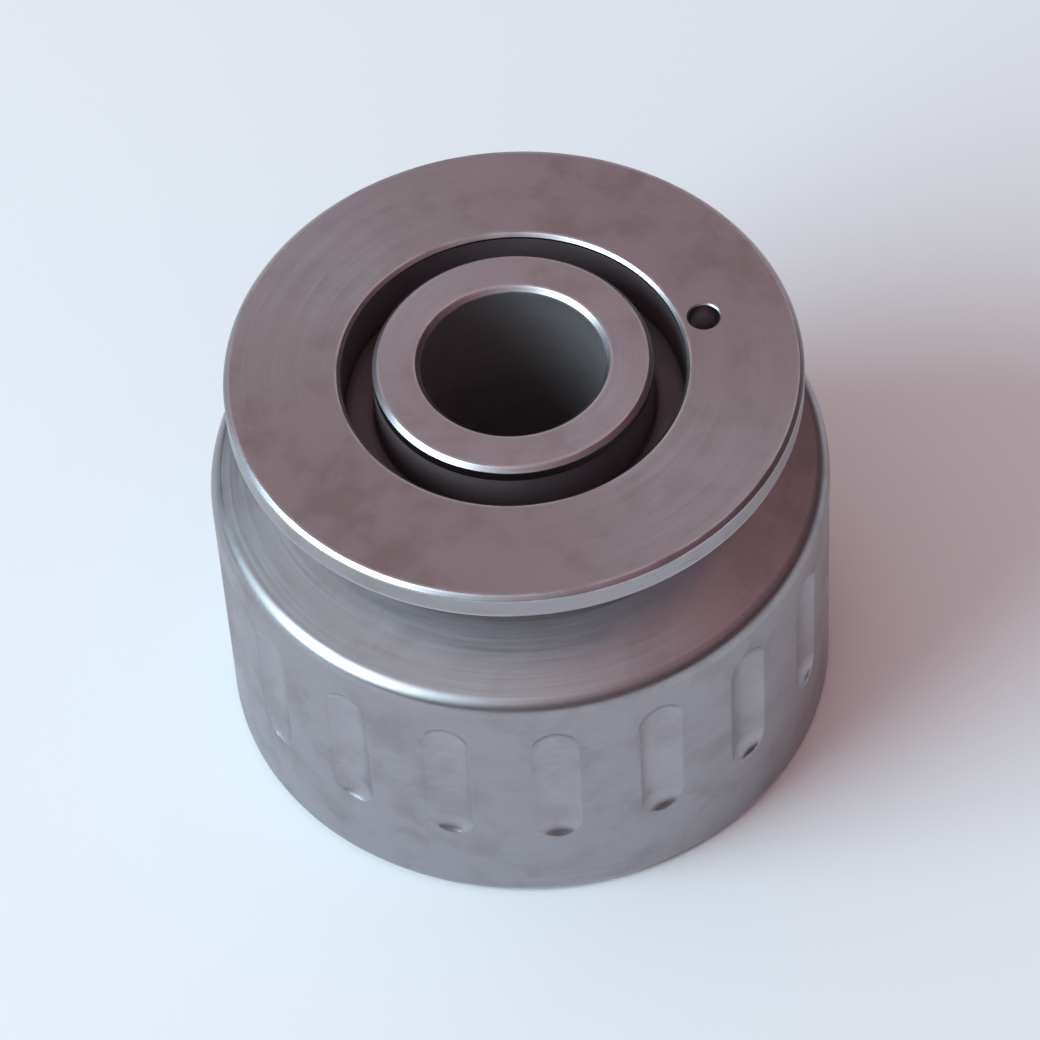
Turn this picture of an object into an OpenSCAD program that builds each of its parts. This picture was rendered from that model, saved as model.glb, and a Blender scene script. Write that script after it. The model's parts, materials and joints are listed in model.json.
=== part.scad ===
// Pulley of an industrial sewing machine, turned from one piece of steel.
// A flange and a V-belt groove sit at the hub end, above a drum with finger flutes.
// All lengths are in millimetres and all angles in degrees.
// The bore runs along Z, the back face lies on Z = 0 and the hub ring is at the top.

/* [Shaft bore] */
// Diameter of the bore, for the machine's shaft
bore_d = 15; // [10:0.5:18]
// Chamfer at both mouths of the bore
bore_chamfer = 0.9; // [0.2:0.1:1.4]

/* [Hub ring] */
// Outer diameter of the raised ring round the bore
hub_d = 22.8; // [21.4:0.2:25]
// Height of the ring above the flange's face
hub_proud = 0.8; // [0.4:0.1:2]
// Chamfer on the ring's outer edge
hub_chamfer = 0.4; // [0.1:0.1:0.6]

/* [Recess round the hub] */
// Width of the ring-shaped recess, from the hub out to the flange
recess_w = 2.6; // [1:0.1:3]
// Depth of the recess below the flange's face
recess_depth = 5; // [1:0.5:8]
// Chamfer on the recess's outer edge
recess_chamfer = 0.3; // [0.1:0.1:0.5]

/* [Flange] */
// Diameter of the flange
flange_d = 47; // [44:0.5:50]
// Thickness of the flange at its rim
flange_rim_t = 2.6; // [1.5:0.1:5]
// Chamfer on both edges of the flange's rim
flange_chamfer = 0.35; // [0.1:0.05:0.6]

/* [Belt groove] */
// Depth of the groove, from the flange's rim to its root
groove_depth = 6.2; // [2:0.1:6.5]
// Width of the flat root
groove_root_w = 3.1; // [1:0.1:6]
// Slope of each flank, from a plane square to the bore
groove_flank_angle = 24; // [10:1:35]

/* [Drum] */
// Diameter of the drum
drum_d = 51.2; // [50.6:0.2:60]
// Length of the drum, from its rim to the back face
drum_l = 25.8; // [18:0.2:50]
// Radius of the rounding between the drum and the groove's lower flank
rim_r = 2; // [0.5:0.1:2.5]
// Chamfer round the back face
back_chamfer = 0.6; // [0.2:0.1:1.5]

/* [Finger flutes] */
// Number of flutes round the drum
flute_count = 18; // [6:1:22]
// Diameter of the ball-nosed cutter that makes a flute
flute_cutter_d = 6; // [4:0.5:8]
// Depth of a flute at its middle
flute_depth = 0.8; // [0.3:0.1:1.1]
// Plain length of drum between its rim and the flutes
flute_top_land = 3.4; // [2.6:0.1:6]
// Plain length of drum between the flutes and the back face
flute_back_land = 7.9; // [2:0.1:9]
// Angle from the X axis to the first flute
flute_start_angle = 13; // [0:1:60]

/* [Index hole] */
// Diameter of the blind hole in the flange's face
index_d = 2.6; // [1:0.1:3]
// Full-width depth of the hole, above its drill point
index_depth = 3.5; // [1:0.5:5]
// Wall left between the recess and the hole
index_wall = 0.9; // [0.5:0.1:1.5]
// Angle from the X axis to the hole
index_angle = 14; // [0:1:360]

/* [Hidden] */
$fn = 144;

steel = [0.56, 0.53, 0.56];
drill_point_angle = 118;
cut_past = 1;

// Radii
bore_r = bore_d / 2;
hub_r = hub_d / 2;
recess_r = hub_r + recess_w;
flange_r = flange_d / 2;
root_r = flange_r - groove_depth;
drum_r = drum_d / 2;
index_r = index_d / 2;
index_place_r = recess_r + index_wall + index_r;

// Heights above the back face
flank_slope = tan(groove_flank_angle);
rim_z = drum_l;
root_low_z = rim_z + (drum_r - root_r) * flank_slope;
root_high_z = root_low_z + groove_root_w;
flange_low_z = root_high_z + groove_depth * flank_slope;
face_z = flange_low_z + flange_rim_t;
hub_z = face_z + hub_proud;
recess_z = face_z - recess_depth;

// The rim's rounding touches the drum this far below the corner
rounding_z = rim_z - rim_r * (1 - sin(groove_flank_angle)) / cos(groove_flank_angle);

// The ball-nosed cutter's path: its centre stands off the drum, and the ball's footprint
// on the drum marks both ends of a flute
cutter_r = flute_cutter_d / 2;
cutter_place_r = drum_r - flute_depth + cutter_r;
footprint_r = sqrt(cutter_r * cutter_r - pow(cutter_place_r - drum_r, 2));
flute_low_z = flute_back_land + footprint_r;
flute_high_z = rim_z - flute_top_land - footprint_r;

// Half section of the turned blank: radius along X, height along Y
module blank_section() {
    polygon([
        [bore_r + bore_chamfer, 0],
        [drum_r - back_chamfer, 0],
        [drum_r, back_chamfer],
        [drum_r, rim_z],
        [root_r, root_low_z],
        [root_r, root_high_z],
        [flange_r - flange_chamfer, flange_low_z - flange_chamfer * flank_slope],
        [flange_r, flange_low_z + flange_chamfer],
        [flange_r, face_z - flange_chamfer],
        [flange_r - flange_chamfer, face_z],
        [recess_r + recess_chamfer, face_z],
        [recess_r, face_z - recess_chamfer],
        [recess_r, recess_z],
        [hub_r, recess_z],
        [hub_r, hub_z - hub_chamfer],
        [hub_r - hub_chamfer, hub_z],
        [bore_r + bore_chamfer, hub_z],
        [bore_r, hub_z - bore_chamfer],
        [bore_r, bore_chamfer]
    ]);
}

// What the rounding takes off the corner between the drum and the groove's lower flank
module rim_rounding_cut() {
    translate([drum_r - rim_r, rounding_z])
        difference() {
            polygon([
                [0, 0],
                [rim_r + cut_past, 0],
                [rim_r + cut_past, rim_r + cut_past],
                [(rim_r + cut_past) * sin(groove_flank_angle), (rim_r + cut_past) / cos(groove_flank_angle)],
                [rim_r * sin(groove_flank_angle), rim_r * cos(groove_flank_angle)]
            ]);
            circle(r = rim_r);
        }
}

module turned_blank() {
    rotate_extrude()
        difference() {
            blank_section();
            rim_rounding_cut();
        }
}

// One pass of the ball-nosed cutter along the drum
module flute_cut() {
    translate([cutter_place_r, 0, flute_low_z])
        cylinder(h = flute_high_z - flute_low_z, r = cutter_r, $fn = 48);
    for (end_z = [flute_low_z, flute_high_z])
        translate([cutter_place_r, 0, end_z])
            sphere(r = cutter_r, $fn = 48);
}

module index_hole_cut() {
    point_h = index_r / tan(drill_point_angle / 2);
    rotate([0, 0, index_angle])
        translate([index_place_r, 0, face_z - index_depth]) {
            cylinder(h = index_depth + cut_past, r = index_r, $fn = 48);
            translate([0, 0, -point_h])
                cylinder(h = point_h, r1 = 0, r2 = index_r, $fn = 48);
        }
}

module pulley() {
    color(steel)
        difference() {
            turned_blank();
            for (i = [0 : flute_count - 1])
                rotate([0, 0, flute_start_angle + i * 360 / flute_count])
                    flute_cut();
            index_hole_cut();
        }
}

pulley();
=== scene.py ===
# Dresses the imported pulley: a finely modelled turned body with its own steel finish,
# on a pale floor under soft studio light. Lengths in the dictionaries are millimetres.
import json
import math

import bpy
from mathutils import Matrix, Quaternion, Vector

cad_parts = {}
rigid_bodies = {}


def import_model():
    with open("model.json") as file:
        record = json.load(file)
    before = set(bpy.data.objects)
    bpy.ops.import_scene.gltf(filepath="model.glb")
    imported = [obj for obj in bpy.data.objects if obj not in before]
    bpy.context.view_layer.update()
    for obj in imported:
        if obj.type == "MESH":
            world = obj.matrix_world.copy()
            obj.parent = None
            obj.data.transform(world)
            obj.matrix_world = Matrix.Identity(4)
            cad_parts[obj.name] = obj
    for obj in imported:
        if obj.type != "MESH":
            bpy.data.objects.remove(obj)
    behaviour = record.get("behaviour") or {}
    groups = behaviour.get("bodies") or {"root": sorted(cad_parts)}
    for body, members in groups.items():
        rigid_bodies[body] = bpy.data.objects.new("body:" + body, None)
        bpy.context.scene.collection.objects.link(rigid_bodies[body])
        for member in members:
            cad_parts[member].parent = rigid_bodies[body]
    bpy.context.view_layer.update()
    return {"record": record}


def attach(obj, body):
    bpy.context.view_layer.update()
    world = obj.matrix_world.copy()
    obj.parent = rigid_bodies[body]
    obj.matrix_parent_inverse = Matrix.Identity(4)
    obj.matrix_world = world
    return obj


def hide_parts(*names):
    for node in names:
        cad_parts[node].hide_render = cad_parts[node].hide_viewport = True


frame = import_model()

mm = 0.001
record = frame["record"]
mounts = {m["name"]: m for m in record["mounts"]}

# the turned body, from the same sizes as the part
body = {
    "boreR": mounts["shaft_bore"]["dims"]["r_mm"],
    "boreChamfer": 0.4,
    "hubR": 11.4,
    "hubProud": 0.8,
    "hubChamfer": 0.4,
    "recessW": 2.6,
    "recessDepth": 5.0,
    "recessChamfer": 0.3,
    "flangeR": 23.5,
    "flangeRimT": 2.6,
    "flangeChamfer": 0.35,
    "grooveDepth": 6.2,
    "grooveRootW": 3.1,
    "flankAngle": math.radians(24),
    "drumR": 25.6,
    "drumL": 25.8,
    "rimR": 2.0,
    "backChamfer": 0.6,
    "edgeR": 0.12,       # the light breaking of every turned edge
    "cornerR": 0.35,     # inside corners left by the tool's nose
    "arcStep": math.radians(11),
    "segments": 360,
}

flutes = {
    "count": 18,
    "cutterR": 3.0,
    "depth": 0.8,
    "topLand": 3.4,
    "backLand": 7.9,
    "startAngle": math.radians(13),
    "cutterSegments": 96,
    "breakCutterR": 6.5,      # a second, shallower pass that breaks the flute's edge
    "breakW": 0.1,
    "breakSegments": 160,
    "spareOutside": 0.5,      # how far a cutter reaches past the drum
}

indexHole = {
    "r": mounts["index_hole"]["dims"]["r_mm"],
    "place": mounts["index_hole"]["pos_m"],
    "depth": mounts["index_hole"]["dims"]["length_mm"],
    "pointAngle": math.radians(118),
    "countersink": 0.12,
    "reachAbove": 0.3,
    "segments": 64,
}

view = {
    "lens": 182.25,
    "distance": 440.8,
    "aim": (-0.27, 0.0, 17.72),
    "azimuth": math.radians(-0.06),
    "elevation": math.radians(52.13),
    "roll": math.radians(-3.81),
}


def heights(b):
    # key heights above the back face, and the radius of the groove's root
    slope = math.tan(b["flankAngle"])
    rootR = b["flangeR"] - b["grooveDepth"]
    rootLow = b["drumL"] + (b["drumR"] - rootR) * slope
    rootHigh = rootLow + b["grooveRootW"]
    flangeLow = rootHigh + b["grooveDepth"] * slope
    face = flangeLow + b["flangeRimT"]
    return {"rootR": rootR, "rootLow": rootLow, "rootHigh": rootHigh, "flangeLow": flangeLow,
            "face": face, "hub": face + b["hubProud"], "slope": slope}


level = heights(body)


def bodyCorners(b):
    # corners of the half section, each as radius, height and the size of its rounding
    e, c = b["edgeR"], b["cornerR"]
    h = level
    recessR = b["hubR"] + b["recessW"]
    return [
        (b["boreR"], b["boreChamfer"], e),
        (b["boreR"] + b["boreChamfer"], 0, e),
        (b["drumR"] - b["backChamfer"], 0, e),
        (b["drumR"], b["backChamfer"], e),
        (b["drumR"], b["drumL"], b["rimR"]),
        (h["rootR"], h["rootLow"], c),
        (h["rootR"], h["rootHigh"], c),
        (b["flangeR"] - b["flangeChamfer"], h["flangeLow"] - b["flangeChamfer"] * h["slope"], e),
        (b["flangeR"], h["flangeLow"] + b["flangeChamfer"], e),
        (b["flangeR"], h["face"] - b["flangeChamfer"], e),
        (b["flangeR"] - b["flangeChamfer"], h["face"], e),
        (recessR + b["recessChamfer"], h["face"], e),
        (recessR, h["face"] - b["recessChamfer"], e),
        (recessR, h["face"] - b["recessDepth"], c),
        (b["hubR"], h["face"] - b["recessDepth"], c),
        (b["hubR"], h["hub"] - b["hubChamfer"], e),
        (b["hubR"] - b["hubChamfer"], h["hub"], e),
        (b["boreR"] + b["boreChamfer"], h["hub"], e),
        (b["boreR"], h["hub"] - b["boreChamfer"], e),
    ]


def roundedOutline(corners, arcStep):
    # each corner becomes an arc between the points where it leaves its two sides
    outline = []
    for i, (r, z, radius) in enumerate(corners):
        here = Vector((r, z))
        back = (Vector(corners[i - 1][:2]) - here).normalized()
        ahead = (Vector(corners[(i + 1) % len(corners)][:2]) - here).normalized()
        half = back.angle(ahead) / 2
        reach = radius / math.tan(half)
        centre = here + (back + ahead).normalized() * radius / math.sin(half)
        start = here + back * reach - centre
        turn = (here + ahead * reach - centre).angle_signed(start)
        steps = max(2, math.ceil(abs(turn) / arcStep))
        for k in range(steps + 1):
            a = turn * k / steps
            x = start.x * math.cos(a) - start.y * math.sin(a)
            y = start.x * math.sin(a) + start.y * math.cos(a)
            outline.append((centre.x + x, centre.y + y))
    return outline


def selectOnly(obj):
    bpy.ops.object.select_all(action='DESELECT')
    obj.select_set(True)
    bpy.context.view_layer.objects.active = obj


def turnBlank(b):
    # a ring is drawn along the whole section by extruding and resizing it
    outline = roundedOutline(bodyCorners(b), b["arcStep"])
    bpy.ops.object.select_all(action='DESELECT')
    rHere, zHere = outline[0]
    bpy.ops.mesh.primitive_circle_add(vertices=b["segments"], radius=rHere * mm, fill_type='NOTHING')
    blank = bpy.context.object
    blank.name = "pulleyBody"
    bpy.ops.object.mode_set(mode='EDIT')
    bpy.ops.mesh.select_mode(type='VERT')
    bpy.ops.mesh.select_all(action='SELECT')
    bpy.ops.transform.translate(value=(0, 0, zHere * mm))
    for r, z in outline[1:] + outline[:1]:
        bpy.ops.mesh.extrude_region_move(TRANSFORM_OT_translate={"value": (0, 0, (z - zHere) * mm)})
        bpy.ops.transform.resize(value=(r / rHere, r / rHere, 1), center_override=(0, 0, z * mm))
        rHere, zHere = r, z
    bpy.ops.mesh.select_all(action='SELECT')
    bpy.ops.mesh.remove_doubles(threshold=0.002 * mm)
    bpy.ops.mesh.normals_make_consistent(inside=False)
    bpy.ops.object.mode_set(mode='OBJECT')
    print("turned blank:", len(outline), "rings")
    return blank


def selectFaces(obj, test):
    # leaves the object in edit mode with only the faces that pass the test selected
    bpy.ops.object.mode_set(mode='EDIT')
    bpy.ops.mesh.select_all(action='DESELECT')
    bpy.ops.mesh.select_mode(type='FACE')
    bpy.ops.object.mode_set(mode='OBJECT')
    for face in obj.data.polygons:
        face.select = test(face)
    bpy.ops.object.mode_set(mode='EDIT')


def addBallCutter(radius, place, low, high, segments):
    # a sphere whose upper half is pulled up along the drum; what lies far outside is cut off
    bpy.ops.object.select_all(action='DESELECT')
    bpy.ops.mesh.primitive_uv_sphere_add(segments=segments, ring_count=segments // 2, radius=radius * mm)
    cutter = bpy.context.object
    selectFaces(cutter, lambda face: face.center.z > 0)
    bpy.ops.mesh.extrude_region_move(TRANSFORM_OT_translate={"value": (0, 0, (high - low) * mm)})
    bpy.ops.mesh.select_all(action='SELECT')
    bpy.ops.transform.translate(value=(place * mm, 0, low * mm))
    outside = (body["drumR"] + flutes["spareOutside"]) * mm
    bpy.ops.mesh.bisect(plane_co=(outside, 0, 0), plane_no=(1, 0, 0), use_fill=True, clear_outer=True,
                        threshold=0.0001 * mm)
    bpy.ops.mesh.select_all(action='SELECT')
    bpy.ops.mesh.normals_make_consistent(inside=False)
    bpy.ops.object.mode_set(mode='OBJECT')
    return cutter


def fluteCutters(f):
    # the flute's own cutter, and the wider one that takes its edge off by breakW all round
    place = body["drumR"] - f["depth"] + f["cutterR"]
    endReach = math.sqrt(f["cutterR"] ** 2 - (place - body["drumR"]) ** 2)
    low = f["backLand"] + endReach
    high = body["drumL"] - f["topLand"] - endReach
    main = addBallCutter(f["cutterR"], place, low, high, f["cutterSegments"])

    chord = (place ** 2 + body["drumR"] ** 2 - f["cutterR"] ** 2) / (2 * place)
    halfW = math.sqrt(body["drumR"] ** 2 - chord ** 2) + f["breakW"]
    breakR = f["breakCutterR"]
    breakPlace = math.sqrt(body["drumR"] ** 2 - halfW ** 2) + math.sqrt(breakR ** 2 - halfW ** 2)
    breakReach = math.sqrt(breakR ** 2 - (breakPlace - body["drumR"]) ** 2)
    shift = breakReach - endReach - f["breakW"]
    edge = addBallCutter(breakR, breakPlace, low + shift, high - shift, f["breakSegments"])
    return main, edge


def repeatRound(obj, count, startAngle):
    # copies stand round the bore, each with its own mesh, and are joined for one cut
    copies = []
    for i in range(count):
        copy = obj.copy()
        copy.data = obj.data.copy()
        copy.rotation_euler.z = startAngle + i * 2 * math.pi / count
        bpy.context.collection.objects.link(copy)
        copies.append(copy)
    bpy.data.objects.remove(obj)
    bpy.ops.object.select_all(action='DESELECT')
    for copy in copies:
        copy.select_set(True)
    bpy.context.view_layer.objects.active = copies[0]
    bpy.ops.object.transform_apply(location=True, rotation=True, scale=True)
    bpy.ops.object.join()
    return bpy.context.object


def addDrill(hole):
    # a pointed drill whose shank widens at the flange's face, for a small countersink
    pointH = hole["r"] / math.tan(hole["pointAngle"] / 2)
    shank = hole["depth"] - hole["countersink"]
    flare = hole["countersink"] + hole["reachAbove"]
    top = level["face"] - hole["countersink"]
    x, y, _ = hole["place"]
    bpy.ops.object.select_all(action='DESELECT')
    bpy.ops.mesh.primitive_cylinder_add(vertices=hole["segments"], radius=hole["r"] * mm, depth=shank * mm,
                                        location=(x, y, (top - shank / 2) * mm))
    drill = bpy.context.object
    bpy.ops.object.transform_apply(location=True, rotation=True, scale=True)
    selectFaces(drill, lambda face: face.normal.z < -0.9)
    bpy.ops.mesh.extrude_region_move(TRANSFORM_OT_translate={"value": (0, 0, -pointH * mm)})
    bpy.ops.mesh.merge(type='CENTER')
    selectFaces(drill, lambda face: face.normal.z > 0.9)
    bpy.ops.mesh.extrude_region_move(TRANSFORM_OT_translate={"value": (0, 0, flare * mm)})
    wider = (hole["r"] + flare) / hole["r"]
    bpy.ops.transform.resize(value=(wider, wider, 1), center_override=(x, y, (top + flare) * mm))
    bpy.ops.object.mode_set(mode='OBJECT')
    return drill


def cutAway(obj, cutter):
    selectOnly(obj)
    cut = obj.modifiers.new("cut", 'BOOLEAN')
    cut.operation = 'DIFFERENCE'
    cut.solver = 'EXACT'
    cut.object = cutter
    bpy.ops.object.modifier_apply(modifier=cut.name)
    bpy.data.objects.remove(cutter)


def smoothShading(obj):
    # large faces keep their own normal, so the flat faces stay flat up to their edges
    selectOnly(obj)
    bpy.ops.object.shade_smooth_by_angle(angle=math.radians(30))
    weights = obj.modifiers.new("weights", 'WEIGHTED_NORMAL')
    weights.mode = 'FACE_AREA'
    weights.keep_sharp = True
    bpy.ops.object.modifier_apply(modifier=weights.name)


def makePulley():
    pulley = turnBlank(body)
    for cutter in fluteCutters(flutes):
        cutAway(pulley, repeatRound(cutter, flutes["count"], flutes["startAngle"]))
        print("flutes cut:", len(pulley.data.polygons), "faces")
    cutAway(pulley, addDrill(indexHole))
    smoothShading(pulley)
    print("pulley body:", len(pulley.data.polygons), "faces")
    return pulley


# the finish of each surface, where the groove root's darker colour is painted shade: its place in the half
# section (radius and height in millimetres), its colour as a share of the steel's, its roughness, and how bare
# the metal is
def finishAndShadeZones(b, h):
    recessR = b["hubR"] + b["recessW"]
    past = 0.06
    return {
        "flangeFace": {"r": (recessR + b["recessChamfer"], b["flangeR"] - b["flangeChamfer"]),
                       "z": (h["face"] - past, h["face"] + past),
                       "tone": (0.97, 0.94, 0.95), "rough": 0.38, "bare": 1.0},
        "hubFace": {"r": (b["boreR"] + b["boreChamfer"], b["hubR"] - b["hubChamfer"]),
                    "z": (h["hub"] - past, h["hub"] + past),
                    "tone": (1.06, 1.05, 1.08), "rough": 0.32, "bare": 1.0},
        "recess": {"r": (b["hubR"] - 0.3, recessR + 0.3),
                   "z": (h["face"] - b["recessDepth"] - 0.3, h["face"] - 0.5),
                   "tone": (0.42, 0.34, 0.36), "rough": 0.55, "bare": 0.35},
        "bore": {"r": (b["boreR"] - 0.3, b["boreR"] + past), "z": (-1, h["hub"] - b["boreChamfer"]),
                 "tone": (0.80, 0.76, 0.75), "rough": 0.40, "bare": 0.6},
        # the groove's root and inner flank are painted darker: painted shade under the flange
        "root": {"r": (h["rootR"] - 0.3, h["rootR"] + 1.6), "z": (h["rootLow"] - 1.2, h["rootHigh"] + 1.2),
                 "tone": (0.66, 0.58, 0.58), "rough": 0.50, "bare": 0.8},
        "drum": {"r": (b["drumR"] - past, b["drumR"] + past), "z": (b["backChamfer"], b["drumL"] - 1.2),
                 "tone": (1.0, 1.0, 1.02), "rough": 0.44, "bare": 1.0},
        "flute": {"r": (b["drumR"] - flutes["depth"] - past, b["drumR"] - past),
                  "z": (flutes["backLand"] - 0.4, b["drumL"] - flutes["topLand"] + 0.4),
                  "tone": (1.10, 1.10, 1.12), "rough": 0.36, "bare": 1.0},
    }


steelLook = {
    "colour": (0.375, 0.352, 0.366),
    "darkColour": (0.30, 0.262, 0.262),     # faint brown stain in the mottling
    "roughness": 0.36,
    "turnedSheen": 0.6,      # turning marks spread a reflection across themselves
    "mottleSize": 5.0,       # in mm
    "mottleAmount": 0.55,
    "grainSize": 0.22,
    "toolPitch": 0.30,       # spacing of the turning marks
    "toolTurns": 1.6,        # how often they change round the bore
    "toolDepth": 0.0022,
    "wearReach": 0.30,       # how far the bright worn steel reaches from an edge
    "wearColour": (0.56, 0.54, 0.56),
    # painted shade: a dark colour laid in around the inside corners
    "dirtReach": 0.9,
    "dirtColour": (0.075, 0.052, 0.05),
    "pitSize": 0.55,
}


def addNode(tree, kind, settings=None, inputs=None):
    # an input is linked when it comes from another node, and is set when it is a plain value
    node = tree.nodes.new(kind)
    for name, value in (settings or {}).items():
        setattr(node, name, value)
    for key, value in (inputs or {}).items():
        if isinstance(value, bpy.types.NodeSocket):
            tree.links.new(value, node.inputs[key])
        else:
            node.inputs[key].default_value = value
    return node


def maths(tree, operation, first, second=0.0, clamp=False):
    return addNode(tree, 'ShaderNodeMath', {"operation": operation, "use_clamp": clamp},
                   {0: first, 1: second}).outputs[0]


def rise(tree, value, low, high):
    # 0 below low, 1 above high, with a smooth step between; low may lie above high
    return addNode(tree, 'ShaderNodeMapRange', {"interpolation_type": 'SMOOTHSTEP'},
                   {"Value": value, "From Min": low, "From Max": high}).outputs["Result"]


def inside(tree, value, low, high, soft):
    up = rise(tree, value, low - soft / 2, low + soft / 2)
    down = rise(tree, value, high + soft / 2, high - soft / 2)
    return maths(tree, 'MULTIPLY', up, down)


def blendColour(tree, share, first, second, blend='MIX'):
    # colours are sockets, or plain red, green and blue; the Mix node's colour sockets are 6 and 7
    first, second = [c if isinstance(c, bpy.types.NodeSocket) else (*c, 1) for c in (first, second)]
    return addNode(tree, 'ShaderNodeMix', {"data_type": 'RGBA', "blend_type": blend},
                   {0: share, 6: first, 7: second}).outputs[2]


def blendValue(tree, share, first, second):
    return addNode(tree, 'ShaderNodeMix', {"data_type": 'FLOAT'}, {0: share, 2: first, 3: second}).outputs[0]


def makeSteel(look):
    steel = bpy.data.materials.new("turnedSteel")
    steel.use_nodes = True
    tree = steel.node_tree
    shader = tree.nodes["Principled BSDF"]
    shader.inputs["Anisotropic"].default_value = look["turnedSheen"]
    tangent = addNode(tree, 'ShaderNodeTangent', {"direction_type": 'RADIAL', "axis": 'Z'}).outputs[0]
    tree.links.new(tangent, shader.inputs["Tangent"])

    # place on the part in millimetres, as radius, height and direction round the bore
    place = addNode(tree, 'ShaderNodeTexCoord').outputs["Object"]
    place = addNode(tree, 'ShaderNodeVectorMath', {"operation": 'SCALE'}, {0: place, "Scale": 1 / mm}).outputs[0]
    xyz = addNode(tree, 'ShaderNodeSeparateXYZ', inputs={0: place})
    x, y, z = xyz.outputs[0], xyz.outputs[1], xyz.outputs[2]
    r = maths(tree, 'SQRT', maths(tree, 'ADD', maths(tree, 'MULTIPLY', x, x), maths(tree, 'MULTIPLY', y, y)))
    section = addNode(tree, 'ShaderNodeCombineXYZ', inputs={0: r, 1: z}).outputs[0]

    # turning marks: noise that is fine across the section and long round the bore
    turns = look["toolTurns"]
    around = addNode(tree, 'ShaderNodeCombineXYZ', inputs={
        0: maths(tree, 'DIVIDE', r, look["toolPitch"]),
        1: maths(tree, 'MULTIPLY', maths(tree, 'DIVIDE', x, r), turns),
        2: maths(tree, 'MULTIPLY', maths(tree, 'DIVIDE', y, r), turns)}).outputs[0]
    marks = addNode(tree, 'ShaderNodeTexNoise', {"noise_dimensions": '4D'},
                    {"Vector": around, "W": maths(tree, 'DIVIDE', z, look["toolPitch"]), "Scale": 1.0,
                     "Detail": 2.0, "Roughness": 0.6}).outputs[0]

    mottle = addNode(tree, 'ShaderNodeTexNoise', inputs={
        "Vector": place, "Scale": 1 / look["mottleSize"], "Detail": 5.0, "Roughness": 0.62}).outputs[0]
    grain = addNode(tree, 'ShaderNodeTexNoise', inputs={
        "Vector": place, "Scale": 1 / look["grainSize"], "Detail": 2.0}).outputs[0]

    stain = maths(tree, 'MULTIPLY', rise(tree, mottle, 0.45, 0.68), look["mottleAmount"])
    colour = blendColour(tree, stain, look["colour"], look["darkColour"])
    rough = look["roughness"]
    bare = 1.0

    for zone in finishAndShadeZones(body, level).values():
        here = maths(tree, 'MULTIPLY', inside(tree, r, *zone["r"], 0.08), inside(tree, z, *zone["z"], 0.08))
        toned = blendColour(tree, 1.0, colour, zone["tone"], 'MULTIPLY')
        colour = blendColour(tree, here, colour, toned)
        rough = blendValue(tree, here, rough, zone["rough"])
        bare = blendValue(tree, here, bare, zone["bare"])

    # painted shade darkens the colour near the inside corners, and outside edges are worn bright
    def nearCorner(radius, reach):
        near = None
        for cornerR, cornerZ, rounding in bodyCorners(body):
            if rounding != radius:
                continue
            away = addNode(tree, 'ShaderNodeVectorMath', {"operation": 'DISTANCE'},
                           {0: section, 1: (cornerR, cornerZ, 0)}).outputs["Value"]
            near = away if near is None else maths(tree, 'MINIMUM', near, away)
        ragged = maths(tree, 'ADD', near, maths(tree, 'MULTIPLY', maths(tree, 'SUBTRACT', mottle, 0.5), reach))
        return rise(tree, ragged, reach, 0.0)

    # painted shade: the colour darkens towards the inside corners of the groove's root and the recess
    paintedShade = nearCorner(body["cornerR"], look["dirtReach"])
    colour = blendColour(tree, paintedShade, colour, look["dirtColour"])
    wear = maths(tree, 'MULTIPLY', nearCorner(body["edgeR"], look["wearReach"]), rise(tree, mottle, 0.35, 0.6))
    colour = blendColour(tree, wear, colour, look["wearColour"])

    # the marks, the grain and smudges break up the gloss
    rough = blendValue(tree, paintedShade, rough, 0.6)
    rough = blendValue(tree, wear, rough, 0.26)
    swing = maths(tree, 'MULTIPLY', maths(tree, 'SUBTRACT', marks, 0.5), 0.22)
    smudge = maths(tree, 'MULTIPLY', maths(tree, 'SUBTRACT', mottle, 0.5), 0.25)
    rough = maths(tree, 'ADD', maths(tree, 'ADD', rough, swing), smudge, clamp=True)
    shade = addNode(tree, 'ShaderNodeMapRange', inputs={
        "Value": marks, "From Min": 0.25, "From Max": 0.75, "To Min": 0.93, "To Max": 1.06}).outputs["Result"]
    shadeColour = addNode(tree, 'ShaderNodeCombineColor', inputs={0: shade, 1: shade, 2: shade}).outputs[0]
    colour = blendColour(tree, 1.0, colour, shadeColour, 'MULTIPLY')
    tree.links.new(colour, shader.inputs["Base Color"])
    tree.links.new(rough, shader.inputs["Roughness"])
    tree.links.new(bare, shader.inputs["Metallic"])

    height = maths(tree, 'ADD', marks, maths(tree, 'MULTIPLY', grain, 0.35))
    bump = addNode(tree, 'ShaderNodeBump', inputs={
        "Height": height, "Strength": 1.0, "Distance": look["toolDepth"] * mm}).outputs[0]
    tree.links.new(bump, shader.inputs["Normal"])
    return steel


def addCamera(v):
    camera = bpy.data.objects.new("photoCamera", bpy.data.cameras.new("photoCamera"))
    bpy.context.collection.objects.link(camera)
    camera.data.lens = v["lens"]
    camera.data.sensor_width = 36
    ahead = Vector((math.sin(v["azimuth"]) * math.cos(v["elevation"]),
                    math.cos(v["azimuth"]) * math.cos(v["elevation"]), -math.sin(v["elevation"])))
    camera.location = Vector(v["aim"]) * mm - ahead * v["distance"] * mm
    camera.rotation_mode = 'QUATERNION'
    camera.rotation_quaternion = ahead.to_track_quat('-Z', 'Y') @ Quaternion((0, 0, 1), v["roll"])
    camera.data.clip_start = 0.01
    camera.data.clip_end = 20
    bpy.context.scene.camera = camera
    return camera


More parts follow.
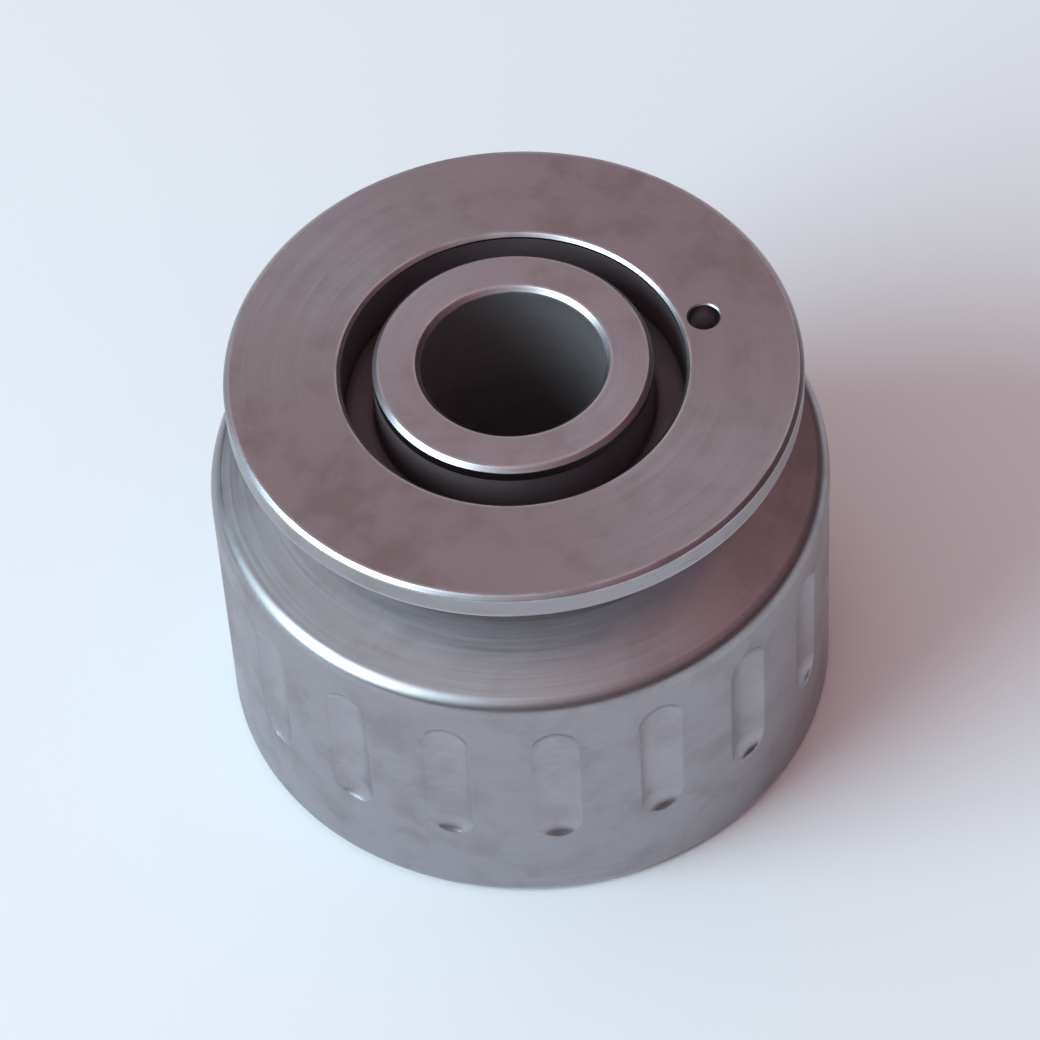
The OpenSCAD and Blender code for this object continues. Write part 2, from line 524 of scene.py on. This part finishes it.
def addFloor():
    bpy.ops.object.select_all(action='DESELECT')
    bpy.ops.mesh.primitive_plane_add(size=6)
    floor = bpy.context.object
    floor.name = "floor"
    paper = bpy.data.materials.new("paleFloor")
    paper.use_nodes = True
    shader = paper.node_tree.nodes["Principled BSDF"]
    shader.inputs["Base Color"].default_value = (0.9, 0.9, 0.9, 1)
    shader.inputs["Roughness"].default_value = 0.8
    shader.inputs["Specular IOR Level"].default_value = 0.2
    floor.data.materials.append(paper)
    return floor


# a cool window-like softbox on the left, under a dome that is pale on the left, warm and dark
# on the right, and dark towards the horizon
studio = {
    "window": {"name": "windowLeft", "azimuth": -68, "elevation": 31, "distance": 1.0, "size": 0.80,
               "watts": 12.5, "colour": (0.64, 0.88, 1.0)},
    "dome": {-0.8: (0.60, 0.66, 0.72), -0.4: (0.68, 0.66, 0.70), 0.0: (0.66, 0.56, 0.58),
             0.4: (0.54, 0.33, 0.36), 0.7: (0.34, 0.20, 0.22)},
    "horizonShare": 0.15,
    "darkUpTo": math.radians(8),
    "brightFrom": math.radians(48),
}


def addSoftbox(box):
    name = box["name"]
    lamp = bpy.data.objects.new(name, bpy.data.lights.new(name, 'AREA'))
    bpy.context.collection.objects.link(lamp)
    a, e = math.radians(box["azimuth"]), math.radians(box["elevation"])
    away = Vector((math.sin(a) * math.cos(e), -math.cos(a) * math.cos(e), math.sin(e)))
    lamp.location = away * box["distance"]
    lamp.rotation_mode = 'QUATERNION'
    lamp.rotation_quaternion = away.to_track_quat('Z', 'Y')
    lamp.data.shape = 'DISK'
    lamp.data.size = box["size"]
    lamp.data.energy = box["watts"]
    lamp.data.color = box["colour"]
    return lamp


def makeWorld(s):
    world = bpy.data.worlds.new("studio")
    bpy.context.scene.world = world
    world.use_nodes = True
    tree = world.node_tree
    sky = addNode(tree, 'ShaderNodeTexCoord').outputs["Generated"]
    xyz = addNode(tree, 'ShaderNodeSeparateXYZ', inputs={0: sky})
    across = addNode(tree, 'ShaderNodeMapRange', inputs={
        "Value": xyz.outputs[0], "From Min": -1, "From Max": 1}).outputs["Result"]
    ramp = addNode(tree, 'ShaderNodeValToRGB', inputs={0: across})
    stops = ramp.color_ramp.elements
    while len(stops) < len(s["dome"]):
        stops.new(0.5)
    for stop, (x, colour) in zip(stops, sorted(s["dome"].items())):
        stop.position = (x + 1) / 2
        stop.color = (*colour, 1)
    height = rise(tree, xyz.outputs[2], math.sin(s["darkUpTo"]), math.sin(s["brightFrom"]))
    background = tree.nodes["Background"]
    tree.links.new(ramp.outputs[0], background.inputs["Color"])
    tree.links.new(blendValue(tree, height, s["horizonShare"], 1.0), background.inputs["Strength"])


camera = addCamera(view)
floor = addFloor()
print("camera and floor are in place")

pulley = makePulley()
pulley.data.materials.clear()
pulley.data.materials.append(makeSteel(steelLook))
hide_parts("pulley")
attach(pulley, "root")

addSoftbox(studio["window"])
makeWorld(studio)
bpy.context.scene.view_settings.view_transform = 'Standard'
print("lights are in place")
